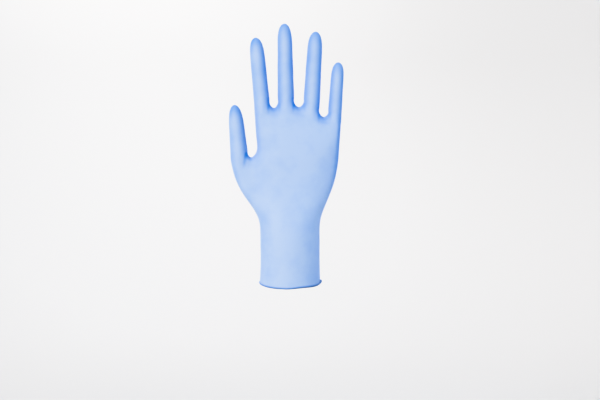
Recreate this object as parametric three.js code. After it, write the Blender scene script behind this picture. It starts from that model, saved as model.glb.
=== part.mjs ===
// Nitrile exam glove: one dipped film with a rolled bead at the cuff, in the form that it has when worn.
// It fits either hand, so its front and back are alike. Section points of the wrist, palm, thumb and
// fingers make a cage of quads, with a web at each crotch. A smooth subdivision skin passes through the
// section points. A second skin lies one wall inside the first, and the bead joins the two at the
// opening. X runs from the thumb to the little finger, Y through the palm, and Z up from the opening to
// the fingertips.
import * as THREE from "three";

// Driving sizes, in millimetres. The film and its bead, which is thicker than the film by its roll.
const WALL = 1.0;
const BEAD_ROLL = 1.3;
// Heights, which add up to the glove's length of 240: the opening to the thumb's crotch, on to the
// highest crotch between two fingers, and on to the tip of the middle finger.
const BODY_HEIGHT = 118.5;
const HAND_HEIGHT = 46.0;
const FINGER_LENGTH = 75.5;
const THUMB_LENGTH = 48.2;
// Widths across the glove. The knuckles stand off the middle of the cuff, towards the little finger.
const CUFF_WIDTH = 55.2;
const FINGER_WIDTH = 15.4;
const FINGER_GAP = 7.8;
const THUMB_WIDTH = 16.4;
const THUMB_GAP = 5.9;
const KNUCKLE_OFFSET = 7.4;
const PALM_INSET = 2.4;
// Depths through the glove, and how far a web's front and back edges lie below its crest.
const CUFF_DEPTH = 54.6;
const PALM_DEPTH = 28.5;
const KNUCKLE_DEPTH = 17.8;
const WEB_DEPTH = 11.4;
const WEB_ARCH = 3.8;

// The digits from the thumb to the little finger. width is a share of the thumb's or the finger's width,
// gap the share of the gap before it, reach the height of the tip above the thumb's crotch or the
// fingers' highest one, as a share of the thumb's or the finger's length, and drop how far the crotch on
// the little-finger side lies below the highest one, as a share of the hand's height. lean is the way
// sideways for each length along the digit, taper the share of the width lost from root to tip, and cap
// the share of the length in the rounded end.
const DIGITS = [
  { name: "thumb", width: 1.0, gap: 1.0, reach: 1.0, drop: 0.0, lean: -0.083, taper: 0.26, cap: 0.3 },
  { name: "index", width: 0.948, gap: 1.0, reach: 0.833, drop: 0.015, lean: -0.09, taper: 0.13, cap: 0.22 },
  { name: "middle", width: 1.0, gap: 0.87, reach: 1.0, drop: 0.0, lean: -0.018, taper: 0.2, cap: 0.18 },
  { name: "ring", width: 0.961, gap: 1.0, reach: 0.905, drop: 0.19, lean: 0.057, taper: 0.14, cap: 0.2 },
  { name: "little", width: 0.818, gap: 1.0, reach: 0.539, drop: 0.19, lean: 0.065, taper: 0.14, cap: 0.22 },
];
// Where a digit's rings of points stand along it.
const DIGIT_RINGS = [0.05, 0.12, 0.25, 0.45, 0.66, 0.84, 0.95];
const DIGIT_ROUNDNESS = 1.04;
const KNUCKLE_SWELL = 1.16;

// The lower body from the bead to the thumb's crotch. up is the share of that height. thumbSide and
// littleSide are the shares of the way from the cuff's half width to each side's reach, flatten the share
// of the way from the cuff's depth to the palm's, spread how far the columns of points have moved from
// even spacing to the digits, and split how far the oval section has parted into the thumb's and the
// hand's.
const BODY_SECTIONS = [
  { up: 0.0, thumbSide: 0.03, littleSide: 0.03, flatten: -0.03, spread: 0.0, split: 0.0 },
  { up: 0.12, thumbSide: 0.0, littleSide: 0.01, flatten: 0.0, spread: 0.0, split: 0.0 },
  { up: 0.3, thumbSide: 0.0, littleSide: 0.0, flatten: 0.02, spread: 0.04, split: 0.0 },
  { up: 0.44, thumbSide: 0.01, littleSide: 0.0, flatten: 0.1, spread: 0.12, split: 0.0 },
  { up: 0.535, thumbSide: 0.085, littleSide: 0.065, flatten: 0.24, spread: 0.26, split: 0.04 },
  { up: 0.63, thumbSide: 0.295, littleSide: 0.285, flatten: 0.47, spread: 0.45, split: 0.14 },
  { up: 0.74, thumbSide: 0.61, littleSide: 0.575, flatten: 0.71, spread: 0.68, split: 0.36 },
  { up: 0.87, thumbSide: 0.865, littleSide: 0.84, flatten: 0.89, spread: 0.87, split: 0.7 },
  { up: 1.0, thumbSide: 0.99, littleSide: 0.98, flatten: 1.0, spread: 1.0, split: 1.0 },
];
// The hand from the thumb's crotch to the finger roots. up is the share of that height, slim the share of
// the way from the palm's depth to the knuckles', and dip the share of the depth lost below each web
// between two fingers.
const HAND_SECTIONS = [
  { up: 0.14, slim: 0.1, dip: 0.0 },
  { up: 0.4, slim: 0.32, dip: 0.0 },
  { up: 0.64, slim: 0.66, dip: 0.015 },
  { up: 0.81, slim: 0.9, dip: 0.09 },
];
// The powers of the oval sections: 2 is an ellipse, and more is squarer.
const WRIST_SQUARENESS = 2.0;
const PALM_SQUARENESS = 2.3;
const KNUCKLE_SQUARENESS = 4.2;

// The bead's round section, which meets the outer skin above it and the inner skin behind it.
const BEAD_SIDES = 10;
const BEAD_RADIUS = (WALL + BEAD_ROLL) / 2;
const BEAD_OFFSET = BEAD_RADIUS - WALL;
const BEAD_SINK = Math.sqrt(BEAD_RADIUS ** 2 - BEAD_OFFSET ** 2);
const RIM_HEIGHT = BEAD_RADIUS + BEAD_SINK;

const lerp = THREE.MathUtils.lerp;
const points = [];
const quads = [];

function addPoint(x, y, z) {
  points.push(new THREE.Vector3(x, y, z));
  return points.length - 1;
}

// A closed ring of point numbers, anticlockwise from above: the left middle, the front from left to
// right, the right middle, and the back from right to left.
function makeRing(left, front, right, back) {
  return [left, ...front, right, ...back.slice().reverse()];
}

function bridge(lower, upper, into = quads) {
  lower.forEach((_, i) => {
    const next = (i + 1) % lower.length;
    into.push([lower[i], lower[next], upper[next], upper[i]]);
  });
}

// The digits' sizes and places. The four fingers stand side by side in the knuckle row, with the gaps
// between them, and the thumb stands beside the index finger. leftCrotch and rightCrotch are the heights
// of the webs on either side.
function placeDigits() {
  const fingerCrotch = BODY_HEIGHT + HAND_HEIGHT;
  const [thumbRow, ...fingerRows] = DIGITS;
  const rowWidth = fingerRows.reduce(
    (sum, row, i) => sum + row.width * FINGER_WIDTH + (i > 0 ? row.gap * FINGER_GAP : 0),
    0,
  );
  const indexSide = KNUCKLE_OFFSET - rowWidth / 2;
  let side = indexSide;
  let leftCrotch = fingerCrotch - fingerRows[0].drop * HAND_HEIGHT;
  const placed = fingerRows.map((row, i) => {
    const width = row.width * FINGER_WIDTH;
    if (i > 0) side += row.gap * FINGER_GAP;
    const rootX = side + width / 2;
    side += width;
    const rightCrotch = fingerCrotch - row.drop * HAND_HEIGHT;
    const tipZ = fingerCrotch + row.reach * FINGER_LENGTH;
    const tipX = rootX + row.lean * (tipZ - (leftCrotch + rightCrotch) / 2);
    const digit = { ...row, width, rootX, tipX, tipZ, leftCrotch, rightCrotch };
    leftCrotch = rightCrotch;
    return digit;
  });
  const width = thumbRow.width * THUMB_WIDTH;
  const rootX = indexSide - thumbRow.gap * THUMB_GAP - width / 2;
  const tipZ = BODY_HEIGHT + thumbRow.reach * THUMB_LENGTH;
  const tipX = rootX + thumbRow.lean * THUMB_LENGTH;
  const crotches = { leftCrotch: BODY_HEIGHT, rightCrotch: BODY_HEIGHT };
  return [{ ...thumbRow, width, rootX, tipX, tipZ, ...crotches }, ...placed];
}

const [thumb, ...fingers] = placeDigits();
const [index] = fingers;
const little = fingers[fingers.length - 1];
const leftSide = (digit) => digit.rootX - digit.width / 2;
const rightSide = (digit) => digit.rootX + digit.width / 2;
const crotchBetween = (a, b) => (rightSide(a) + leftSide(b)) / 2;
const thumbReach = leftSide(thumb);
const palmReach = rightSide(little) - PALM_INSET;

// The columns of points at the fingers' roots, from the outer corner on the left to the one on the right:
// one at each finger's middle and one at each crotch between two.
const CORNER = Math.SQRT1_2;
function fingerColumns() {
  const columns = [index.rootX - (index.width / 2) * CORNER];
  fingers.forEach((finger, i) => {
    columns.push(finger.rootX);
    if (i < fingers.length - 1) columns.push(crotchBetween(finger, fingers[i + 1]));
  });
  columns.push(little.rootX + (little.width / 2) * CORNER);
  return columns;
}

const isCrotchColumn = (j) => j % 2 === 0 && j > 0 && j < 2 * fingers.length;

// The height of the fingers' roots at one of their columns.
function rootHeight(j) {
  const sides = [index.leftCrotch, ...fingers.map((finger) => finger.rightCrotch)];
  return (sides[Math.floor(j / 2)] + sides[Math.ceil(j / 2)]) / 2;
}

// The same columns at the thumb's crotch, where the hand is a little narrower and the thumb stands beside
// it.
function palmColumns() {
  const webX = crotchBetween(thumb, index);
  const share = (x) => (x - leftSide(index)) / (rightSide(little) - leftSide(index));
  const hand = fingerColumns().slice(1).map((x) => lerp(webX, palmReach, share(x)));
  return [thumb.rootX - (thumb.width / 2) * CORNER, thumb.rootX, webX, ...hand];
}

// The half depth of an oval at a share of its half width, and the share of a span's half width at a place
// across it.
const oval = (share, squareness) => (1 - Math.abs(share) ** squareness) ** (1 / squareness);
const shareOf = (x, left, right) => (2 * x - left - right) / (right - left);

// One ring of the wrist, palm or hand. columns holds each column's place across, half depth and height,
// and left and right the places of the two end points, which stand as high as the columns beside them.
function addSection(left, right, columns) {
  const front = columns.map(([x, depth, z]) => addPoint(x, -depth, z));
  const back = columns.map(([x, depth, z]) => addPoint(x, depth, z));
  const [leftZ, rightZ] = [columns[0][2], columns[columns.length - 1][2]];
  return { left: addPoint(left, 0, leftZ), front, right: addPoint(right, 0, rightZ), back };
}

const ringOf = (section) => makeRing(section.left, section.front, section.right, section.back);

// The lower body, whose top section is at the thumb's crotch.
function buildBody() {
  const columns = palmColumns();
  const [cornerX, thumbX, webX] = columns;
  const thumbDepth = (thumb.width / 2) * DIGIT_ROUNDNESS;
  const partedDepth = (x) => {
    if (x === cornerX) return thumbDepth * CORNER;
    if (x === thumbX) return thumbDepth;
    if (x === webX) return WEB_DEPTH / 2;
    return (PALM_DEPTH / 2) * oval(shareOf(x, webX, palmReach), PALM_SQUARENESS);
  };
  const steps = columns.length + 1;
  const sections = BODY_SECTIONS.map((row) => {
    const height = lerp(RIM_HEIGHT, BODY_HEIGHT - WEB_ARCH, row.up);
    const left = lerp(-CUFF_WIDTH / 2, thumbReach, row.thumbSide);
    const right = lerp(CUFF_WIDTH / 2, palmReach, row.littleSide);
    const halfDepth = lerp(CUFF_DEPTH, PALM_DEPTH, row.flatten) / 2;
    const squareness = lerp(WRIST_SQUARENESS, PALM_SQUARENESS, row.spread);
    const placed = columns.map((x, j) => {
      const even = -Math.cos((Math.PI * (j + 1)) / steps);
      const share = lerp(even, shareOf(x, thumbReach, palmReach), row.spread);
      const depth = lerp(halfDepth * oval(share, squareness), partedDepth(x), row.split);
      return [(left + right + (right - left) * share) / 2, depth, height];
    });
    return addSection(left, right, placed);
  });
  for (let i = 1; i < sections.length; i += 1) bridge(ringOf(sections[i - 1]), ringOf(sections[i]));
  return sections[sections.length - 1];
}

// A digit above its root ring, closed at the tip. The ring has as many points as each ring above it.
function buildDigit(digit, root) {
  let below = root;
  for (const along of DIGIT_RINGS) {
    const intoCap = Math.max(0, (along - 1 + digit.cap) / digit.cap);
    const halfWidth = (digit.width / 2) * (1 - digit.taper * along) * Math.sqrt(1 - intoCap ** 2);
    const centre = lerp(digit.rootX, digit.tipX, along);
    const current = root.map((_, i) => {
      const angle = Math.PI + (2 * Math.PI * i) / root.length;
      const share = Math.cos(angle);
      const rootZ = lerp(digit.leftCrotch, digit.rightCrotch, (share + 1) / 2);
      const y = halfWidth * DIGIT_ROUNDNESS * Math.sin(angle);
      return addPoint(centre + halfWidth * share, y, lerp(rootZ, digit.tipZ, along));
    });
    bridge(below, current);
    below = current;
  }
  const tip = addPoint(digit.tipX, 0, digit.tipZ);
  for (let i = 0; i < below.length; i += 2) {
    quads.push([tip, below[i], below[i + 1], below[(i + 2) % below.length]]);
  }
}

// The thumb, and the hand from the thumb's crotch up to the ring below the fingers' roots, which it
// returns.
function buildHand(palm) {
  const web = addPoint(crotchBetween(thumb, index), 0, BODY_HEIGHT);
  const webColumn = 2;
  const thumbSide = (row) => row.slice(0, webColumn + 1);
  const handSide = (row) => row.slice(webColumn);
  buildDigit(thumb, makeRing(palm.left, thumbSide(palm.front), web, thumbSide(palm.back)));

  const columns = fingerColumns();
  const [left, right] = [leftSide(index), rightSide(little)];
  let below = makeRing(web, handSide(palm.front), palm.right, handSide(palm.back));
  for (const row of HAND_SECTIONS) {
    const halfDepth = lerp(PALM_DEPTH, KNUCKLE_DEPTH, row.slim) / 2;
    const squareness = lerp(PALM_SQUARENESS, KNUCKLE_SQUARENESS, row.slim);
    const rowLeft = lerp(left + PALM_INSET, left, row.up);
    const rowRight = lerp(right - PALM_INSET, right, row.up);
    const placed = columns.map((x, j) => {
      const share = shareOf(x, left, right);
      const across = (rowLeft + rowRight + (rowRight - rowLeft) * share) / 2;
      const depth = halfDepth * oval(share, squareness) * (isCrotchColumn(j) ? 1 - row.dip : 1);
      return [across, depth, lerp(BODY_HEIGHT, rootHeight(j), row.up)];
    });
    const section = ringOf(addSection(rowLeft, rowRight, placed));
    bridge(below, section);
    below = section;
  }
  return below;
}

// The fingers' roots with the webs between them, and the fingers.
function buildFingers(below) {
  const placed = fingerColumns().map((x, j) => {
    const finger = fingers[Math.min(fingers.length - 1, Math.floor(j / 2))];
    const own = (finger.width / 2) * DIGIT_ROUNDNESS;
    const atFinger = j % 2 === 1 ? own * KNUCKLE_SWELL : own * CORNER;
    return [x, isCrotchColumn(j) ? WEB_DEPTH / 2 : atFinger, rootHeight(j) - WEB_ARCH];
  });
  const roots = addSection(leftSide(index), rightSide(little), placed);
  bridge(below, ringOf(roots));
  const webs = fingers.slice(1).map((finger, i) =>
    addPoint(crotchBetween(fingers[i], finger), 0, finger.leftCrotch),
  );
  const sides = [roots.left, ...webs, roots.right];
  fingers.forEach((finger, i) => {
    const own = (row) => row.slice(2 * i, 2 * i + 3);
    buildDigit(finger, makeRing(sides[i], own(roots.front), sides[i + 1], own(roots.back)));
  });
}

// The two neighbours of each point on the mesh's open rim.
function rimNeighbours(faces) {
  const used = new Map();
  faces.forEach((quad) =>
    quad.forEach((a, i) => used.set(`${a},${quad[(i + 1) % 4]}`, [a, quad[(i + 1) % 4]])),
  );
  const rim = new Map();
  for (const [a, b] of used.values()) {
    if (used.has(`${b},${a}`)) continue;
    rim.set(a, [...(rim.get(a) ?? []), b]);
    rim.set(b, [...(rim.get(b) ?? []), a]);
  }
  return rim;
}

// Where each point of a quad mesh lies on its Catmull-Clark limit surface.
function limitPoints(vertices, faces) {
  const rim = rimNeighbours(faces);
  const sums = vertices.map(() => ({ faces: 0, edges: new THREE.Vector3(), corners: new THREE.Vector3() }));
  for (const quad of faces) {
    quad.forEach((v, i) => {
      sums[v].faces += 1;
      sums[v].edges.add(vertices[quad[(i + 1) % 4]]).add(vertices[quad[(i + 3) % 4]]);
      sums[v].corners.add(vertices[quad[(i + 2) % 4]]);
    });
  }
  return vertices.map((p, v) => {
    if (rim.has(v)) {
      const [a, b] = rim.get(v);
      return p.clone().multiplyScalar(4).add(vertices[a]).add(vertices[b]).divideScalar(6);
    }
    const n = sums[v].faces;
    const total = p.clone().multiplyScalar(n * n).addScaledVector(sums[v].edges, 2).add(sums[v].corners);
    return total.divideScalar(n * (n + 5));
  });
}

// Control points whose limit surface passes through the wanted ones.
function fitThrough(wanted, faces) {
  const rounds = 2;
  let control = wanted.map((p) => p.clone());
  for (let i = 0; i < rounds; i += 1) {
    const reached = limitPoints(control, faces);
    control = control.map((p, v) => p.clone().add(wanted[v]).sub(reached[v]));
  }
  return control;
}

// One Catmull-Clark step.
function subdivide(vertices, faces) {
  const rim = rimNeighbours(faces);
  const mean = (numbers) =>
    numbers.reduce((sum, v) => sum.add(vertices[v]), new THREE.Vector3()).divideScalar(numbers.length);
  const facePoints = faces.map(mean);
  const edges = new Map();
  const around = vertices.map(() => ({ faces: [], edges: [] }));
  faces.forEach((quad, f) =>
    quad.forEach((a, i) => {
      const b = quad[(i + 1) % 4];
      const key = a < b ? `${a},${b}` : `${b},${a}`;
      if (!edges.has(key)) {
        edges.set(key, { ends: [a, b], faces: [] });
        around[a].edges.push(key);
        around[b].edges.push(key);
      }
      edges.get(key).faces.push(f);
      around[a].faces.push(f);
    }),
  );
  const made = vertices.map((p, v) => {
    if (rim.has(v)) {
      const [a, b] = rim.get(v);
      return p.clone().multiplyScalar(6).add(vertices[a]).add(vertices[b]).divideScalar(8);
    }
    const n = around[v].faces.length;
    const moved = p.clone().multiplyScalar(n - 3);
    around[v].faces.forEach((f) => moved.addScaledVector(facePoints[f], 1 / n));
    around[v].edges.forEach((key) => moved.addScaledVector(mean(edges.get(key).ends), 2 / n));
    return moved.divideScalar(n);
  });
  const faceNumber = facePoints.map((p) => made.push(p) - 1);
  for (const edge of edges.values()) {
    const p = mean(edge.ends);
    if (edge.faces.length === 2) {
      p.multiplyScalar(2).add(facePoints[edge.faces[0]]).add(facePoints[edge.faces[1]]).divideScalar(4);
    }
    edge.number = made.push(p) - 1;
  }
  const edgeNumber = (a, b) => edges.get(a < b ? `${a},${b}` : `${b},${a}`).number;
  const smaller = faces.flatMap((quad, f) =>
    quad.map((v, i) => {
      const [next, previous] = [quad[(i + 1) % 4], quad[(i + 3) % 4]];
      return [v, edgeNumber(v, next), faceNumber[f], edgeNumber(previous, v)];
    }),
  );
  return [made, smaller];
}

// The skin's direction at each point, from the quads around it.
function vertexNormals(vertices, faces) {
  const normals = vertices.map(() => new THREE.Vector3());
  for (const [a, b, c, d] of faces) {
    const across = vertices[c].clone().sub(vertices[a]);
    const normal = across.cross(vertices[d].clone().sub(vertices[b]));
    [a, b, c, d].forEach((v) => normals[v].add(normal));
  }
  return normals.map((n) => n.normalize());
}

// The rim's points in order round the opening, anticlockwise from above.
function rimLoop(faces) {
  const used = new Set(faces.flatMap((quad) => quad.map((a, i) => `${a},${quad[(i + 1) % 4]}`)));
  const next = new Map();
  for (const quad of faces) {
    quad.forEach((a, i) => {
      const b = quad[(i + 1) % 4];
      if (!used.has(`${b},${a}`)) next.set(a, b);
    });
  }
  const loop = [next.keys().next().value];
  while (next.get(loop[loop.length - 1]) !== loop[0]) loop.push(next.get(loop[loop.length - 1]));
  return loop;
}

// The film between the outer skin and the inner one, closed at the opening by the rolled bead.
function buildFilm(outer, faces) {
  const normals = vertexNormals(outer, faces);
  const count = outer.length;
  const vertices = outer.map((p) => p.clone());
  outer.forEach((p, v) => vertices.push(p.clone().addScaledVector(normals[v], -WALL)));
  const film = faces.map((quad) => quad.slice());
  faces.forEach((quad) => film.push(quad.map((v) => v + count).reverse()));

  const loop = rimLoop(faces);
  const start = Math.acos(-BEAD_OFFSET / BEAD_RADIUS);
  let above = loop;
  for (let k = 1; k <= BEAD_SIDES; k += 1) {
    const angle = lerp(start, -Math.PI, k / BEAD_SIDES);
    const current = loop.map((v) => {
      const outwards = normals[v].clone().setZ(0).normalize();
      const p = outer[v].clone().addScaledVector(outwards, BEAD_OFFSET + BEAD_RADIUS * Math.cos(angle));
      p.z += BEAD_RADIUS * Math.sin(angle) - BEAD_SINK;
      return vertices.push(p) - 1;
    });
    bridge(current, above, film);
    above = current;
  }
  bridge(loop.map((v) => v + count), above, film);
  return [vertices, film];
}

// Triangles, with each quad cut along its shorter diagonal.
function toGeometry(vertices, faces) {
  const geometry = new THREE.BufferGeometry().setFromPoints(vertices);
  const triangles = faces.flatMap(([a, b, c, d]) => {
    const cutFromA = vertices[a].distanceTo(vertices[c]) <= vertices[b].distanceTo(vertices[d]);
    return cutFromA ? [a, b, c, a, c, d] : [b, c, d, b, d, a];
  });
  geometry.setIndex(triangles);
  geometry.computeVertexNormals();
  return geometry;
}

buildFingers(buildHand(buildBody()));
const [fine, fineQuads] = subdivide(fitThrough(points, quads), quads);
const [vertices, faces] = buildFilm(limitPoints(fine, fineQuads), fineQuads);

const nitrile = new THREE.MeshStandardMaterial({ color: 0xa3c2f0, roughness: 0.62, metalness: 0 });
const glove = new THREE.Mesh(toGeometry(vertices, faces), nitrile);
glove.name = "glove";

const part = new THREE.Group();
part.add(glove);

export default part;
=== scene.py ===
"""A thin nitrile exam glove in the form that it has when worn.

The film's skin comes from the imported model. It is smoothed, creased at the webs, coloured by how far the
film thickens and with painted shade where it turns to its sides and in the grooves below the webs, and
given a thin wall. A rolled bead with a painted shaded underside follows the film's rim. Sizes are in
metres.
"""

import math
from collections import namedtuple

import bmesh
import bpy
from bpy.props import FloatProperty, FloatVectorProperty, IntProperty, PointerProperty
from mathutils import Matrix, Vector, noise


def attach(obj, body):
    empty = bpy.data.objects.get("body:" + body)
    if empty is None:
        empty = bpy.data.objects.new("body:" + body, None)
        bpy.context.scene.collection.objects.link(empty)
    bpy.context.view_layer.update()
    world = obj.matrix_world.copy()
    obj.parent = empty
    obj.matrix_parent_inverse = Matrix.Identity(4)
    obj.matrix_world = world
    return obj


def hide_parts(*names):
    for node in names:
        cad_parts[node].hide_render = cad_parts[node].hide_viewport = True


bl_info = {
    "name": "Nitrile exam glove",
    "version": (1, 0, 0),
    "blender": (4, 5, 0),
    "location": "View3D > Sidebar > Glove",
    "description": "Makes an exam glove with its rolled bead, its finish and a pale studio",
    "category": "Add Mesh",
}

MM = 0.001
NODE = "glove"
BODY = "root"
# This attribute holds how thick the film is, and painted shade at the film's sides, in the grooves beside
# the webs and on the bead's underside.
SHADE_ATTRIBUTE = "film_depth_and_shade"
THICK_ATTRIBUTE = "roll_thickness"

DIGITS = 5
PAPER_TONE = Vector((1, 0.99, 0.985))

# The Mix node's colour sockets by number, because its number and vector sockets have the same names.
MIX_FACTOR = 0
MIX_FIRST = 6
MIX_SECOND = 7
MIX_RESULT = 2

Groove = namedtuple("Groove", "aside above lean below strength")
THUMB_GROOVES = (Groove(aside=-4.0 * MM, above=0.4, lean=-0.35, below=1.4, strength=0.9),)
FINGER_GROOVES = (
    Groove(aside=-4.2 * MM, above=1.0, lean=-0.1, below=1.0, strength=0.8),
    Groove(aside=4.6 * MM, above=0.4, lean=0.1, below=0.8, strength=0.3),
)

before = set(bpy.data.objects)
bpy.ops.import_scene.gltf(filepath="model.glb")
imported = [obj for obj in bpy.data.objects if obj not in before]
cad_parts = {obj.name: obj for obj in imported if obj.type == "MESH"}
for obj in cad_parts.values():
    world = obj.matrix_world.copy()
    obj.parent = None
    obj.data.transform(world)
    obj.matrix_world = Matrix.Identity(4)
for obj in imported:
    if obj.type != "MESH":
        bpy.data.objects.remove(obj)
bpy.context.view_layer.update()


class GloveFilm(bpy.types.PropertyGroup):
    """Sizes of the film."""

    wall: FloatProperty(
        name="Wall",
        description="Thickness of the film",
        default=0.35 * MM,
        unit="LENGTH",
    )
    bead_height: FloatProperty(
        name="Bead height",
        description="Height of the rolled bead, above which the film is a single wall",
        default=2.5 * MM,
        unit="LENGTH",
    )
    fineness: IntProperty(
        name="Fineness",
        description="Subdivision steps on the packed model's skin",
        default=2,
    )
    ripple_depth: FloatProperty(
        name="Ripple depth",
        description="Height of the slow unevenness of the film",
        default=0.16 * MM,
        unit="LENGTH",
    )
    ripple_length: FloatProperty(
        name="Ripple length",
        description="Distance between the slow waves of the film",
        default=16 * MM,
        unit="LENGTH",
    )
    # The edge, cuff, thumb side, outer and relief settings set painted shade where the film turns to its
    # sides, lighter on the thumb's side that faces the key light; finger and tip depth set thicker film.
    edge_shade: FloatProperty(
        name="Edge shade",
        description="How dark the painted shade grows at the film's sides, as a share of the darkest",
        default=0.85,
        subtype="FACTOR",
    )
    edge_rate: FloatProperty(
        name="Edge rate",
        description="How early the painted shade grows as the film turns to its sides",
        default=2.7,
    )
    cuff_share: FloatProperty(
        name="Cuff share",
        description="Painted shade at the cuff's sides, as a share of the fingers'",
        default=0.5,
        subtype="FACTOR",
    )
    finger_depth: FloatProperty(
        name="Finger depth",
        description="How much thicker the film is on the fingers than on the palm",
        default=0.05,
        subtype="FACTOR",
    )
    thumb_side: FloatProperty(
        name="Thumb side",
        description="How much less painted shade the thumb's side of each digit and of the palm gets, as it faces the key light",
        default=0.42,
        subtype="FACTOR",
    )
    outer_shade: FloatProperty(
        name="Outer shade",
        description="How dark the painted shade grows on the outside of the thumb, the index finger and the palm",
        default=0.26,
        subtype="FACTOR",
    )
    outer_rate: FloatProperty(
        name="Outer rate",
        description="How early the painted shade grows as the film turns to that outside",
        default=8,
    )
    tip_depth: FloatProperty(
        name="Tip depth",
        description="How thick the film is at the tips of the digits",
        default=0.47,
        subtype="FACTOR",
    )
    tip_relief: FloatProperty(
        name="Tip relief",
        description="How much less painted shade the sides get at the tips",
        default=0.85,
        subtype="FACTOR",
    )
    web_relief: FloatProperty(
        name="Web relief",
        description="How much less painted shade the sides get on the webs",
        default=0.5,
        subtype="FACTOR",
    )
    # Painted shade in the grooves beside the webs.
    fold_shade: FloatProperty(
        name="Fold shade",
        description="How dark the painted shade is in the grooves beside the webs",
        default=0.45,
        subtype="FACTOR",
    )
    web_groove_depth: FloatProperty(
        name="Web groove depth",
        description="Depth of the groove that runs down from each side of a web",
        default=0.5 * MM,
        unit="LENGTH",
    )
    web_groove_length: FloatProperty(
        name="Web groove length",
        description="Length of the groove below a web's crest",
        default=8 * MM,
        unit="LENGTH",
    )
    web_groove_width: FloatProperty(
        name="Web groove width",
        description="Half width of the groove below a web",
        default=2.2 * MM,
        unit="LENGTH",
    )
    soft_reach: FloatProperty(
        name="Soft spot reach",
        description="How far the evened spot below the thumb's web reaches",
        default=17 * MM,
        unit="LENGTH",
    )
    soft_passes: IntProperty(
        name="Soft spot passes",
        description="How often the spot below the thumb's web is evened",
        default=60,
    )


class GloveBead(bpy.types.PropertyGroup):
    """Sizes of the rolled bead."""

    radius: FloatProperty(
        name="Radius",
        description="Radius of the roll",
        default=0.72 * MM,
        unit="LENGTH",
    )
    thick_side: FloatProperty(
        name="Thick side",
        description="How much thicker the roll is on the little finger's side, as a share of the radius",
        default=0.45,
        subtype="FACTOR",
    )
    turn_up: FloatProperty(
        name="Turn-up",
        description="How far the roll rides up at its thick side",
        default=1.1 * MM,
        unit="LENGTH",
    )
    lift: FloatProperty(
        name="Lift",
        description="How far the roll rises between its middle and its thick side",
        default=0.7 * MM,
        unit="LENGTH",
    )
    lip: FloatProperty(
        name="Lip",
        description="Step at the end of the rolled film, as a share of the radius",
        default=0.16,
        subtype="FACTOR",
    )
    unevenness: FloatProperty(
        name="Unevenness",
        description="How much the roll's thickness varies round the cuff, as a share of the radius",
        default=0.16,
        subtype="FACTOR",
    )
    crease_depth: FloatProperty(
        name="Crease depth",
        description="Depth of the small creases across the roll",
        default=0.2 * MM,
        unit="LENGTH",
    )
    sides: IntProperty(
        name="Sides",
        description="Points round the roll's section",
        default=28,
    )
    steps: IntProperty(
        name="Steps",
        description="Sections of the roll round the cuff",
        default=560,
    )
    seed: IntProperty(
        name="Seed",
        description="Picks one pattern of unevenness",
        default=7,
    )


class GloveFinish(bpy.types.PropertyGroup):
    """Colours and gloss of the nitrile."""

    pale: FloatVectorProperty(
        name="Stretched film",
        description="Colour where the film is stretched thin",
        default=(0.48, 0.605, 0.82),
        subtype="COLOR",
        size=3,
    )
    # The deep colour is thick film and also the painted shade at the film's sides and in its grooves.
    deep: FloatVectorProperty(
        name="Thick film and shade",
        description="Colour where the film is thick, and of the painted shade at its sides and in its grooves",
        default=(0.02, 0.24, 0.70),
        subtype="COLOR",
        size=3,
    )
    roll_pale: FloatVectorProperty(
        name="Roll's top",
        description="Colour of the rolled bead where it faces up",
        default=(0.12, 0.28, 0.60),
        subtype="COLOR",
        size=3,
    )
    # The roll's underside colour is painted shade.
    roll_underside_shade: FloatVectorProperty(
        name="Roll's shaded underside",
        description="Colour of the painted shade on the rolled bead where it faces down",
        default=(0.03, 0.09, 0.25),
        subtype="COLOR",
        size=3,
    )
    roughness: FloatProperty(
        name="Roughness",
        description="How dull the film is",
        default=0.55,
        subtype="FACTOR",
    )


class GloveStudio(bpy.types.PropertyGroup):
    """Camera, lights and backdrop."""

    distance: FloatProperty(
        name="Camera distance",
        description="From the camera to the middle of the picture",
        default=750 * MM,
        unit="LENGTH",
    )
    tilt: FloatProperty(
        name="Camera tilt",
        description="How far the camera looks down",
        default=math.radians(7),
        subtype="ANGLE",
    )
    lens: FloatProperty(
        name="Lens",
        description="Focal length in millimetres on a sensor 36 mm wide",
        default=48.35,
    )
    floor: FloatProperty(
        name="Floor",
        description="Height of the floor below the cuff",
        default=-320 * MM,
        unit="LENGTH",
    )
    key_power: FloatProperty(
        name="Key light",
        description="Power of the large light on the upper left, in watts",
        default=452,
    )
    side_power: FloatProperty(
        name="Side light",
        description="Power of the blue light on the right, in watts",
        default=1.4,
    )
    # The paper is painted paler on the right than on the left, as painted light where the key light falls
    # off.
    paper_left: FloatProperty(
        name="Paper on the left",
        description="How much light the floor and walls give back on the left",
        default=0.455,
        subtype="FACTOR",
    )
    paper_right: FloatProperty(
        name="Paper on the right",
        description="How much light the floor and walls give back on the right",
        default=0.69,
        subtype="FACTOR",
    )
    side_colour: FloatVectorProperty(
        name="Side light colour",
        description="Colour of the light on the right",
        default=(0.02, 0.46, 1.0),
        subtype="COLOR",
        size=3,
    )
    wall_power: FloatProperty(
        name="Backdrop light",
        description="Power of the light on the upper left of the backdrop, in watts",
        default=14,
    )
    world: FloatProperty(
        name="Room light",
        description="Strength of the even light from all round",
        default=0.88,
    )


def smoothstep(low, high, value):
    """A smooth step from 0 at low to 1 at high."""
    t = min(1.0, max(0.0, (value - low) / (high - low)))
    return t * t * (3 - 2 * t)


def add_object(name, mesh):
    """Links a new object that holds a mesh, at the origin."""
    made = bpy.data.objects.new(name, mesh)
    bpy.context.scene.collection.objects.link(made)
    return made


def finished_mesh(made):
    """The object's mesh with its modifiers applied."""
    graph = bpy.context.evaluated_depsgraph_get()
    graph.update()
    return bpy.data.meshes.new_from_object(made.evaluated_get(graph), depsgraph=graph)


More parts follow.
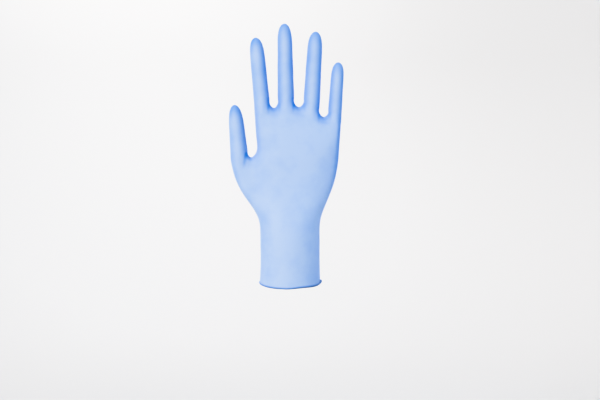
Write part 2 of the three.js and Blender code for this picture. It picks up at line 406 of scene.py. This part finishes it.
def apply_modifiers(made):
    """Puts the finished mesh in the object and removes its modifiers."""
    mesh = finished_mesh(made)
    made.modifiers.clear()
    made.data = mesh


def islands(faces):
    """Groups of faces that are joined by their edges."""
    left = set(faces)
    while left:
        group = [left.pop()]
        for face in group:
            joined = {other for edge in face.edges for other in edge.link_faces} & left
            left -= joined
            group.extend(joined)
        yield group


def outer_skin(node, bead_height):
    """The film's outer skin alone, as quads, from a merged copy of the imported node."""
    same_place = 1e-6
    skin = bmesh.new()
    skin.from_mesh(node.data)
    bmesh.ops.remove_doubles(skin, verts=skin.verts, dist=same_place)
    in_bead = [face for face in skin.faces if face.calc_center_median().z < bead_height]
    bmesh.ops.delete(skin, geom=in_bead, context="FACES")

    def reach(group):
        """How far a group of faces goes to the little finger's side."""
        return max(vertex.co.x for face in group for vertex in face.verts)

    walls = sorted(islands(skin.faces), key=reach)
    if len(walls) != 2:
        raise RuntimeError(f"the film has {len(walls)} skins above its bead, not an inner and an outer one")
    bmesh.ops.delete(skin, geom=walls[0], context="FACES")
    any_angle = math.pi
    bmesh.ops.join_triangles(
        skin,
        faces=skin.faces[:],
        angle_face_threshold=any_angle,
        angle_shape_threshold=any_angle,
        topology_influence=1.0,
    )
    mesh = bpy.data.meshes.new("outer_skin")
    skin.to_mesh(mesh)
    skin.free()
    return mesh


def smooth_through(made, levels):
    """Subdivides the skin, with its control points moved so that it passes through their old places."""
    passes = 3
    smooth = made.modifiers.new("Smooth", "SUBSURF")
    smooth.levels = smooth.render_levels = levels
    wanted = [vertex.co.copy() for vertex in made.data.vertices]
    for _ in range(passes):
        reached = finished_mesh(made)
        for vertex, goal, now in zip(made.data.vertices, wanted, reached.vertices):
            vertex.co += goal - now.co
        bpy.data.meshes.remove(reached)
    apply_modifiers(made)


def middle_outline(mesh):
    """The skin's points in the plane between palm and back, in order from the thumb's side."""
    nearly = 1e-5
    beside = {}
    for edge in mesh.edges:
        a, b = edge.vertices
        if abs(mesh.vertices[a].co.y) < nearly and abs(mesh.vertices[b].co.y) < nearly:
            beside.setdefault(a, []).append(b)
            beside.setdefault(b, []).append(a)
    ends = [number for number, others in beside.items() if len(others) == 1]
    path = [min(ends, key=lambda number: mesh.vertices[number].co.x)]
    previous = None
    while len(path) == 1 or len(beside[path[-1]]) > 1:
        onward = [number for number in beside[path[-1]] if number != previous]
        previous = path[-1]
        path.append(onward[0])
    return [mesh.vertices[number].co.copy() for number in path]


def tips_and_webs(mesh):
    """The highest point of each digit, from the thumb on, and the lowest of each web between two."""
    path = middle_outline(mesh)
    tips = []
    webs = []
    for before, here, after in zip(path, path[1:], path[2:]):
        if before.z < here.z >= after.z:
            tips.append(here)
        if before.z > here.z <= after.z and tips:
            webs.append(here)
    if len(tips) != DIGITS or len(webs) != DIGITS - 1:
        raise RuntimeError(f"the outline has {len(tips)} tips and {len(webs)} webs for {DIGITS} digits")
    return tips, webs


def groove(point, line, width):
    """How deep in a groove a point lies, from 1 on its middle line to 0 beside it, fading to its end."""
    end_narrowing = 0.5
    fade_from = 0.4
    start, end, strength = line
    along = Vector((end.x - start.x, end.z - start.z))
    offset = Vector((point.x - start.x, point.z - start.z))
    share = min(1.0, max(0.0, offset.dot(along) / along.length_squared))
    aside = (offset - along * share).length
    narrowed = width * (1 - end_narrowing * share)
    return strength * smoothstep(narrowed, 0, aside) * (1 - smoothstep(fade_from, 1.0, share))


def web_grooves(webs, settings):
    """Start, end and strength of each groove beside the webs, from the thumb's on.

    The tables give each groove's distance from the web's middle. How far it starts above the web, leans
    and ends below the web are shares of the grooves' length.
    """
    length = settings.web_groove_length
    lines = []
    for number, web in enumerate(webs):
        rows = FINGER_GROOVES if number else THUMB_GROOVES
        for row in rows:
            start = web + Vector((row.aside, 0, row.above * length))
            end = web + Vector((row.aside + row.lean * length, 0, -row.below * length))
            lines.append((start, end, row.strength))
    return lines


def soften_below(mesh, web, settings):
    """Evens out the palm and the back below a web, most at the middle of the spot."""
    aside = 1 * MM
    below = 15 * MM
    least_facing = 0.5
    shrinking = 0.6
    skin = bmesh.new()
    skin.from_mesh(mesh)
    spot = Vector((web.x + aside, web.z - below))
    flat = [vertex for vertex in skin.verts if abs(vertex.normal.y) > least_facing]
    for turn in range(settings.soft_passes):
        reach = settings.soft_reach * (1 - shrinking * turn / settings.soft_passes)
        near = [vertex for vertex in flat if (vertex.co.xz - spot).length < reach]
        bmesh.ops.smooth_vert(skin, verts=near, factor=0.5, use_axis_y=True)
    skin.to_mesh(mesh)
    skin.free()


def crease_film(mesh, webs, settings):
    """Moves the skin in along the grooves below the webs and gives it a slow unevenness."""
    above_rim = (3 * MM, 12 * MM)
    facing_out = (0.25, 0.8)
    grooves = web_grooves(webs, settings)
    normals = [vertex.normal.copy() for vertex in mesh.vertices]
    for vertex, normal in zip(mesh.vertices, normals):
        point = vertex.co
        ripple = settings.ripple_depth * noise.noise(point / settings.ripple_length)
        ripple *= smoothstep(*above_rim, point.z)
        dent = max(groove(point, line, settings.web_groove_width) for line in grooves)
        dent *= settings.web_groove_depth * smoothstep(*facing_out, abs(normal.y))
        vertex.co = point + normal * (ripple - dent)
    mesh.update()


def grown(rate, turned):
    """How far the painted shade has grown where the film has turned by a share of a right angle."""
    return 1 - math.exp(-rate * turned)


def side_shade(point, normal, relief, settings):
    """Painted shade for the film's turn to the side, darker where it turns away to its sides.

    It is lighter on the cuff and on the thumb's side of each digit, which faces the key light, and by the
    relief. On the outside of the thumb, the index finger and the palm it grows early and stays even
    instead.
    """
    cuff_to_palm = (55 * MM, 120 * MM)
    to_outside = (-14 * MM, -20 * MM)
    thumb_facing = (0.3, 1.0)
    outer_facing = (0.05, 0.35)
    least_rate = 0.05
    turned = 1 - abs(normal.y)
    to_thumb = -normal.x
    palm = smoothstep(*cuff_to_palm, point.z)
    share = settings.cuff_share + (1 - settings.cuff_share) * palm
    rate = settings.edge_rate * max(least_rate, palm)
    side = share * settings.edge_shade * grown(rate, turned) / grown(rate, 1) * relief
    side *= 1 - settings.thumb_side * smoothstep(*thumb_facing, to_thumb)
    even = share * settings.outer_shade * grown(settings.outer_rate, turned)
    outer = smoothstep(*to_outside, point.x) * smoothstep(*outer_facing, to_thumb)
    return side + (even - side) * outer


def shade_film(mesh, tips, webs, settings):
    """Writes how deep the film's colour is at each point, 0 where it is stretched and unshaded and 1 at its
    deepest: thicker film on the fingers and at the tips, and painted shade at the sides and in the grooves
    beside the webs.
    """
    tip_reach = 17 * MM
    web_reach = 7 * MM
    across_web = (-3 * MM, 1 * MM)
    finger_root = (135 * MM, 170 * MM)
    fold_width = 1.3 * settings.web_groove_width
    grooves = web_grooves(webs, settings)
    values = []
    for vertex in mesh.vertices:
        point = vertex.co
        tip = max(smoothstep(tip_reach, 0, (point - end).length) for end in tips)
        fold = max(groove(point, line, fold_width) for line in grooves)
        beside = max(
            smoothstep(web_reach, 0, (point - web).length) * smoothstep(*across_web, point.x - web.x)
            for web in webs
        )
        relief = (1 - settings.web_relief * beside) * (1 - settings.tip_relief * tip)
        side = side_shade(point, vertex.normal, relief, settings)
        finger = settings.finger_depth * smoothstep(*finger_root, point.z)
        # Finger and tip add thicker film; side and fold add painted shade.
        values.append(min(1.0, finger + side + settings.tip_depth * tip + settings.fold_shade * fold))
    layer = mesh.attributes.new(SHADE_ATTRIBUTE, "FLOAT", "POINT")
    layer.data.foreach_set("value", values)


def node_at(tree, kind, **values):
    """Adds a node and sets its inputs by name."""
    made = tree.nodes.new(kind)
    for name, value in values.items():
        made.inputs[name.replace("_", " ")].default_value = value
    return made


def mix_colours(tree, factor, first, second):
    """A node that goes from the first colour to the second by a factor."""
    mix = tree.nodes.new("ShaderNodeMix")
    mix.data_type = "RGBA"
    mix.inputs[MIX_FIRST].default_value = (*first, 1)
    mix.inputs[MIX_SECOND].default_value = (*second, 1)
    tree.links.new(factor, mix.inputs[MIX_FACTOR])
    return mix.outputs[MIX_RESULT]


def nitrile_material(name, pale, deep, roughness):
    """A matte blue finish, from its pale colour to its deep one by the film's depth and painted shade, with
    a fine grain.
    """
    patchiness = 0.5
    material = bpy.data.materials.new(name)
    material.use_nodes = True
    tree = material.node_tree
    link = tree.links.new
    shader = tree.nodes["Principled BSDF"]
    place = tree.nodes.new("ShaderNodeTexCoord")

    # The depth attribute carries thicker film and painted shade.
    depth = tree.nodes.new("ShaderNodeAttribute")
    depth.attribute_name = SHADE_ATTRIBUTE
    cloud = node_at(tree, "ShaderNodeTexNoise", Scale=60.0, Detail=4.0, Roughness=0.55)
    link(place.outputs["Object"], cloud.inputs["Vector"])
    patchy = tree.nodes.new("ShaderNodeMath")
    patchy.operation = "MULTIPLY_ADD"
    patchy.inputs[1].default_value = patchiness
    link(cloud.outputs["Fac"], patchy.inputs[0])
    link(depth.outputs["Fac"], patchy.inputs[2])
    amount = tree.nodes.new("ShaderNodeMath")
    amount.operation = "SUBTRACT"
    amount.use_clamp = True
    amount.inputs[1].default_value = patchiness / 2
    link(patchy.outputs[0], amount.inputs[0])
    link(mix_colours(tree, amount.outputs[0], pale, deep), shader.inputs["Base Color"])

    grain = node_at(tree, "ShaderNodeTexNoise", Scale=2600.0, Detail=3.0, Roughness=0.6)
    link(place.outputs["Object"], grain.inputs["Vector"])
    bump = node_at(tree, "ShaderNodeBump", Strength=0.12, Distance=0.2 * MM)
    link(grain.outputs["Fac"], bump.inputs["Height"])
    link(bump.outputs["Normal"], shader.inputs["Normal"])

    shader.inputs["Roughness"].default_value = roughness
    shader.inputs["Specular IOR Level"].default_value = 0.5
    return material


def hand_over(piece, *nodes):
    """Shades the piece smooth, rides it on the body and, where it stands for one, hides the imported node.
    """
    for polygon in piece.data.polygons:
        polygon.use_smooth = True
    if nodes:
        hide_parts(*nodes)
    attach(piece, BODY)


def film_rim(mesh):
    """The points of the skin's open rim, in order round the cuff."""
    count = {}
    for polygon in mesh.polygons:
        for key in polygon.edge_keys:
            count[key] = count.get(key, 0) + 1
    beside = {}
    for (a, b), faces in count.items():
        if faces == 1:
            beside.setdefault(a, []).append(b)
            beside.setdefault(b, []).append(a)
    loop = [next(iter(beside))]
    previous = None
    while True:
        onward = [number for number in beside[loop[-1]] if number != previous]
        if onward[0] == loop[0] and len(loop) > 1:
            break
        previous = loop[-1]
        loop.append(onward[0])
    return [mesh.vertices[number].co.copy() for number in loop]


def lower_rim(mesh, rim, path):
    """Adds a band from the film's rim to the middle of the roll, wherever the roll runs."""
    skin = bmesh.new()
    skin.from_mesh(mesh)
    edges = [edge for edge in skin.edges if edge.is_boundary]
    band = bmesh.ops.extrude_edge_only(skin, edges=edges)["geom"]
    low = [part for part in band if isinstance(part, bmesh.types.BMVert)]
    for vertex in low:
        number = min(range(len(rim)), key=lambda number: (rim[number] - vertex.co).length)
        place, _ = path[number]
        vertex.co = Vector((place.x, place.y, min(vertex.co.z, place.z)))
    bmesh.ops.recalc_face_normals(skin, faces=skin.faces)
    skin.to_mesh(mesh)
    skin.free()


class GLOVE_OT_film(bpy.types.Operator):
    """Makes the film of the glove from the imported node's skin"""

    bl_idname = "glove.film"
    bl_label = "Make the film"

    def execute(self, context):
        settings = context.scene.glove_film
        film = add_object("glove_film", outer_skin(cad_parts[NODE], settings.bead_height))
        smooth_through(film, settings.fineness)
        tips, webs = tips_and_webs(film.data)
        soften_below(film.data, webs[0], settings)
        crease_film(film.data, webs, settings)
        shade_film(film.data, tips, webs, settings)
        rim = film_rim(film.data)
        context.scene["glove_rim"] = [list(point) for point in rim]
        lower_rim(film.data, rim, bead_path(rim, context.scene.glove_bead))
        wall = film.modifiers.new("Wall", "SOLIDIFY")
        wall.thickness = settings.wall
        wall.offset = -1
        apply_modifiers(film)
        film.data.materials.clear()
        finish = context.scene.glove_finish
        material = nitrile_material("nitrile_film_finish", finish.pale, finish.deep, finish.roughness)
        film.data.materials.append(material)
        hand_over(film, NODE)
        return {"FINISHED"}


def bead_tree(values):
    """A node group that rolls a bead along a closed ring of edges, with an input for each value."""
    kinds = {float: "NodeSocketFloat", int: "NodeSocketInt", bpy.types.Material: "NodeSocketMaterial"}
    slow_scale = 45.0
    crease_scale = 420.0
    turn_per_swing = 2.2
    tree = bpy.data.node_groups.new("rolled_bead", "GeometryNodeTree")
    tree.interface.new_socket("Geometry", in_out="INPUT", socket_type="NodeSocketGeometry")
    for name, value in values.items():
        socket = tree.interface.new_socket(name, in_out="INPUT", socket_type=kinds[type(value)])
        socket.default_value = value
    tree.interface.new_socket("Geometry", in_out="OUTPUT", socket_type="NodeSocketGeometry")

    link = tree.links.new
    given = tree.nodes.new("NodeGroupInput")
    made = tree.nodes.new("NodeGroupOutput")
    place = tree.nodes.new("GeometryNodeInputPosition")

    def maths(operation, *inputs):
        """The result of a sum on numbers and sockets."""
        node = tree.nodes.new("ShaderNodeMath")
        node.operation = operation
        for socket, value in zip(node.inputs, inputs):
            if isinstance(value, (int, float)):
                socket.default_value = value
            else:
                link(value, socket)
        return node.outputs[0]

    def swing(scale):
        """Noise round 0 at each place, in the pattern that the seed picks."""
        node = node_at(tree, "ShaderNodeTexNoise", Scale=scale, Detail=2.0)
        node.noise_dimensions = "4D"
        link(place.outputs["Position"], node.inputs["Vector"])
        link(given.outputs["Seed"], node.inputs["W"])
        return maths("SUBTRACT", node.outputs["Fac"], 0.5)

    def scaled(vector, factor):
        """A vector times a factor."""
        node = tree.nodes.new("ShaderNodeVectorMath")
        node.operation = "SCALE"
        link(vector, node.inputs[0])
        link(factor, node.inputs["Scale"])
        return node.outputs["Vector"]

    ring = tree.nodes.new("GeometryNodeMeshToCurve")
    link(given.outputs["Geometry"], ring.inputs["Mesh"])
    even = tree.nodes.new("GeometryNodeResampleCurve")
    link(ring.outputs["Curve"], even.inputs["Curve"])
    link(given.outputs["Steps"], even.inputs["Count"])

    slow = swing(slow_scale)
    uneven = maths("MULTIPLY_ADD", maths("MULTIPLY", slow, 2.0), given.outputs["Unevenness"], 1.0)
    planned = tree.nodes.new("GeometryNodeInputNamedAttribute")
    planned.inputs["Name"].default_value = THICK_ATTRIBUTE
    thick = maths("MULTIPLY", uneven, planned.outputs["Attribute"])
    turned = tree.nodes.new("GeometryNodeSetCurveTilt")
    link(even.outputs["Curve"], turned.inputs["Curve"])
    link(maths("MULTIPLY", slow, turn_per_swing), turned.inputs["Tilt"])

    section = tree.nodes.new("GeometryNodeCurvePrimitiveCircle")
    link(given.outputs["Sides"], section.inputs["Resolution"])
    link(given.outputs["Radius"], section.inputs["Radius"])
    turn = tree.nodes.new("GeometryNodeSplineParameter")
    shrink = maths("SUBTRACT", 1.0, maths("MULTIPLY", turn.outputs["Factor"], given.outputs["Lip"]))
    rolled = tree.nodes.new("GeometryNodeSetPosition")
    link(section.outputs["Curve"], rolled.inputs["Geometry"])
    link(scaled(place.outputs["Position"], shrink), rolled.inputs["Position"])

    tube = tree.nodes.new("GeometryNodeCurveToMesh")
    link(turned.outputs["Curve"], tube.inputs["Curve"])
    link(rolled.outputs["Geometry"], tube.inputs["Profile Curve"])
    link(thick, tube.inputs["Scale"])

    facing = tree.nodes.new("GeometryNodeInputNormal")
    push = maths("MULTIPLY", swing(crease_scale), given.outputs["Crease depth"])
    creased = tree.nodes.new("GeometryNodeSetPosition")
    link(tube.outputs["Mesh"], creased.inputs["Geometry"])
    link(scaled(facing.outputs["Normal"], push), creased.inputs["Offset"])

    real = tree.nodes.new("GeometryNodeRealizeInstances")
    link(creased.outputs["Geometry"], real.inputs["Geometry"])
    finish = tree.nodes.new("GeometryNodeSetMaterial")
    link(real.outputs["Geometry"], finish.inputs["Geometry"])
    link(given.outputs["Finish"], finish.inputs["Material"])
    link(finish.outputs["Geometry"], made.inputs["Geometry"])
    return tree


def set_inputs(modifier, values):
    """Sets a node modifier's inputs by their sockets' identifiers."""
    for item in modifier.node_group.interface.items_tree:
        if item.item_type == "SOCKET" and item.in_out == "INPUT" and item.name in values:
            modifier[item.identifier] = values[item.name]


def bead_path(rim, settings):
    """The middle line of the roll below the film's rim, with the roll's thickness at each point.

    The ranges are of away.x, which is -1 on the thumb's side and 1 on the little finger's.
    """
    thickening = (-0.2, 0.8)
    rising = (-0.1, 0.3)
    sinking = (0.45, 0.85)
    turning_up = (0.965, 1.0)
    off_film = 0.1 * MM
    end_jut = 1.1 * MM
    off_plane = 0.02 * MM
    middle = sum(rim, Vector()) / len(rim)
    path = []
    for point in rim:
        away = Vector((point.x - middle.x, point.y - middle.y, 0)).normalized()
        at_end = smoothstep(*turning_up, away.x)
        thick = 1 + settings.thick_side * (smoothstep(*thickening, away.x) - at_end)
        between = smoothstep(*rising, away.x) * (1 - smoothstep(*sinking, away.x))
        raised = settings.turn_up * at_end + settings.lift * between
        place = point + away * (off_film + end_jut * at_end)
        place.z = thick * settings.radius + raised + off_plane
        path.append((place, thick))
    return path


class GLOVE_OT_bead(bpy.types.Operator):
    """Rolls the bead along the film's rim"""

    bl_idname = "glove.bead"
    bl_label = "Make the bead"

    def execute(self, context):
        settings = context.scene.glove_bead
        finish = context.scene.glove_finish
        rim = [Vector(point) for point in context.scene["glove_rim"]]
        colours = finish.roll_pale, finish.roll_underside_shade
        material = nitrile_material("rolled_bead_finish", *colours, finish.roughness)
        path = bead_path(rim, settings)
        mesh = bpy.data.meshes.new("bead_path")
        ring = [(i, (i + 1) % len(path)) for i in range(len(path))]
        mesh.from_pydata([place for place, _ in path], ring, [])
        thickness = mesh.attributes.new(THICK_ATTRIBUTE, "FLOAT", "POINT")
        thickness.data.foreach_set("value", [thick for _, thick in path])
        bead = add_object("glove_bead", mesh)
        values = {
            "Radius": settings.radius,
            "Lip": settings.lip,
            "Unevenness": settings.unevenness,
            "Crease depth": settings.crease_depth,
            "Sides": settings.sides,
            "Steps": settings.steps,
            "Seed": settings.seed,
            "Finish": material,
        }
        roll = bead.modifiers.new("Roll", "NODES")
        roll.node_group = bead_tree(values)
        set_inputs(roll, values)
        apply_modifiers(bead)
        # Painted shade: the roll darkens from its top to its underside.
        top_to_shaded_underside = (0.6, -0.5)
        bead_shade = [smoothstep(*top_to_shaded_underside, vertex.normal.z) for vertex in bead.data.vertices]
        layer = bead.data.attributes.new(SHADE_ATTRIBUTE, "FLOAT", "POINT")
        layer.data.foreach_set("value", bead_shade)
        hand_over(bead)
        return {"FINISHED"}


def cove_material(left, right):
    """Matte paper painted paler to the right, away from the key light, as painted light where the key light
    falls off.
    """
    material = bpy.data.materials.new("pale_cove")
    material.use_nodes = True
    tree = material.node_tree
    link = tree.links.new
    shader = tree.nodes["Principled BSDF"]
    place = tree.nodes.new("ShaderNodeTexCoord")
    axes = tree.nodes.new("ShaderNodeSeparateXYZ")
    link(place.outputs["Object"], axes.inputs["Vector"])
    across = node_at(tree, "ShaderNodeMapRange", From_Min=-0.9, From_Max=0.9)
    link(axes.outputs["X"], across.inputs["Value"])
    colour = mix_colours(tree, across.outputs["Result"], left * PAPER_TONE, right * PAPER_TONE)
    link(colour, shader.inputs["Base Color"])
    shader.inputs["Roughness"].default_value = 0.8
    shader.inputs["Specular IOR Level"].default_value = 0.2
    return material


def room_plan(corner, steps):
    """Points round a rectangle with round corners, each with its outward direction."""
    left, right, front, back = -6.0, 6.0, -9.0, 0.7
    centres = ((right, back, 0), (left, back, 90), (left, front, 180), (right, front, 270))
    plan = []
    for x, y, start in centres:
        centre = Vector((x - math.copysign(corner, x), y - corner if y == back else y + corner, 0))
        for i in range(steps + 1):
            angle = math.radians(start + 90 * i / steps)
            away = Vector((math.cos(angle), math.sin(angle), 0))
            plan.append((centre + away * corner, away))
    return plan


def build_cove(floor, left, right):
    """A floor that curves up into walls all round."""
    bend = 0.6
    top = 3.0
    steps = 20
    plan = room_plan(corner=1.0, steps=8)
    profile = []
    for i in range(steps + 1):
        angle = math.pi / 2 * i / steps
        profile.append((bend * math.sin(angle), floor + bend * (1 - math.cos(angle))))
    profile.append((bend, top))
    count = len(plan)
    points = []
    for out, height in profile:
        points.extend(place + away * out + Vector((0, 0, height)) for place, away in plan)
    faces = [tuple(range(count))]
    for row in range(len(profile) - 1):
        for i in range(count):
            j = (i + 1) % count
            faces.append((row * count + i, (row + 1) * count + i, (row + 1) * count + j, row * count + j))
    mesh = bpy.data.meshes.new("cove")
    mesh.from_pydata(points, [], faces)
    for polygon in mesh.polygons[1:]:
        polygon.use_smooth = True
    cove = add_object("cove", mesh)
    mesh.materials.append(cove_material(left, right))


def add_light(name, place, target, size, power, colour=(1, 1, 1), spread=math.pi):
    """A square light aimed at a point."""
    data = bpy.data.lights.new(name, "AREA")
    data.shape = "SQUARE"
    data.size = size
    data.energy = power
    data.color = colour
    data.spread = spread
    light = bpy.data.objects.new(name, data)
    light.location = place
    light.rotation_mode = "QUATERNION"
    light.rotation_quaternion = (target - place).to_track_quat("-Z", "Y")
    bpy.context.scene.collection.objects.link(light)


def around(middle, distance, azimuth, elevation):
    """A place round a point, by degrees: azimuth 0 is towards the camera, and the right is positive."""
    azimuth = math.radians(azimuth)
    elevation = math.radians(elevation)
    flat = math.cos(elevation)
    step = Vector((math.sin(azimuth) * flat, -math.cos(azimuth) * flat, math.sin(elevation)))
    return middle + distance * step


class GLOVE_OT_stage(bpy.types.Operator):
    """Makes the pale cove, the soft lights and the camera"""

    bl_idname = "glove.stage"
    bl_label = "Make the studio"

    def execute(self, context):
        settings = context.scene.glove_studio
        scene = context.scene
        build_cove(settings.floor, settings.paper_left, settings.paper_right)

        data = bpy.data.cameras.new("camera")
        data.lens = settings.lens
        data.sensor_width = 36
        camera = bpy.data.objects.new("camera", data)
        aim = Vector((9.272, 0, 78.651)) * MM
        back = Vector((0, -math.cos(settings.tilt), math.sin(settings.tilt)))
        camera.location = aim + back * settings.distance
        camera.rotation_euler = (math.pi / 2 - settings.tilt, 0, 0)
        scene.collection.objects.link(camera)
        scene.camera = camera

        middle = Vector((0, 0, 0.12))
        key_place = around(middle, distance=7.0, azimuth=-48, elevation=25)
        add_light("key", key_place, middle, size=3.0, power=settings.key_power)
        side_place = around(middle, distance=1.8, azimuth=75, elevation=8)
        add_light(
            "side",
            side_place,
            middle,
            size=0.9,
            power=settings.side_power,
            colour=settings.side_colour,
            spread=math.radians(60),
        )
        wall_place = Vector((-0.4, 1.0, 0.85))
        wall_spot = Vector((-0.4, 1.3, 0.5))
        add_light("backdrop", wall_place, wall_spot, size=0.5, power=settings.wall_power)

        world = bpy.data.worlds.new("room")
        world.use_nodes = True
        world.node_tree.nodes["Background"].inputs["Color"].default_value = (0.97, 0.98, 1.0, 1)
        world.node_tree.nodes["Background"].inputs["Strength"].default_value = settings.world
        scene.world = world
        scene.view_settings.view_transform = "Khronos PBR Neutral"
        return {"FINISHED"}


class GLOVE_PT_panel(bpy.types.Panel):
    """Lists the sizes and the steps of the glove"""

    bl_idname = "GLOVE_PT_panel"
    bl_label = "Nitrile exam glove"
    bl_space_type = "VIEW_3D"
    bl_region_type = "UI"
    bl_category = "Glove"

    def draw(self, context):
        for name in SETTINGS:
            settings = getattr(context.scene, name)
            box = self.layout.box()
            for key in settings.bl_rna.properties.keys():
                if key not in {"rna_type", "name"}:
                    box.prop(settings, key)
        for step in ("glove.film", "glove.bead", "glove.stage"):
            self.layout.operator(step)


SETTINGS = {
    "glove_film": GloveFilm,
    "glove_bead": GloveBead,
    "glove_finish": GloveFinish,
    "glove_studio": GloveStudio,
}
CLASSES = (*SETTINGS.values(), GLOVE_OT_film, GLOVE_OT_bead, GLOVE_OT_stage, GLOVE_PT_panel)


def register():
    """Registers the classes and gives the scene its settings."""
    for kind in CLASSES:
        bpy.utils.register_class(kind)
    for name, kind in SETTINGS.items():
        setattr(bpy.types.Scene, name, PointerProperty(type=kind))


def unregister():
    """Takes the settings and the classes away again."""
    for name in SETTINGS:
        delattr(bpy.types.Scene, name)
    for kind in reversed(CLASSES):
        bpy.utils.unregister_class(kind)


def main():
    """Makes every piece and the studio."""
    register()
    bpy.ops.glove.film()
    bpy.ops.glove.bead()
    bpy.ops.glove.stage()


if __name__ == "__main__":
    main()
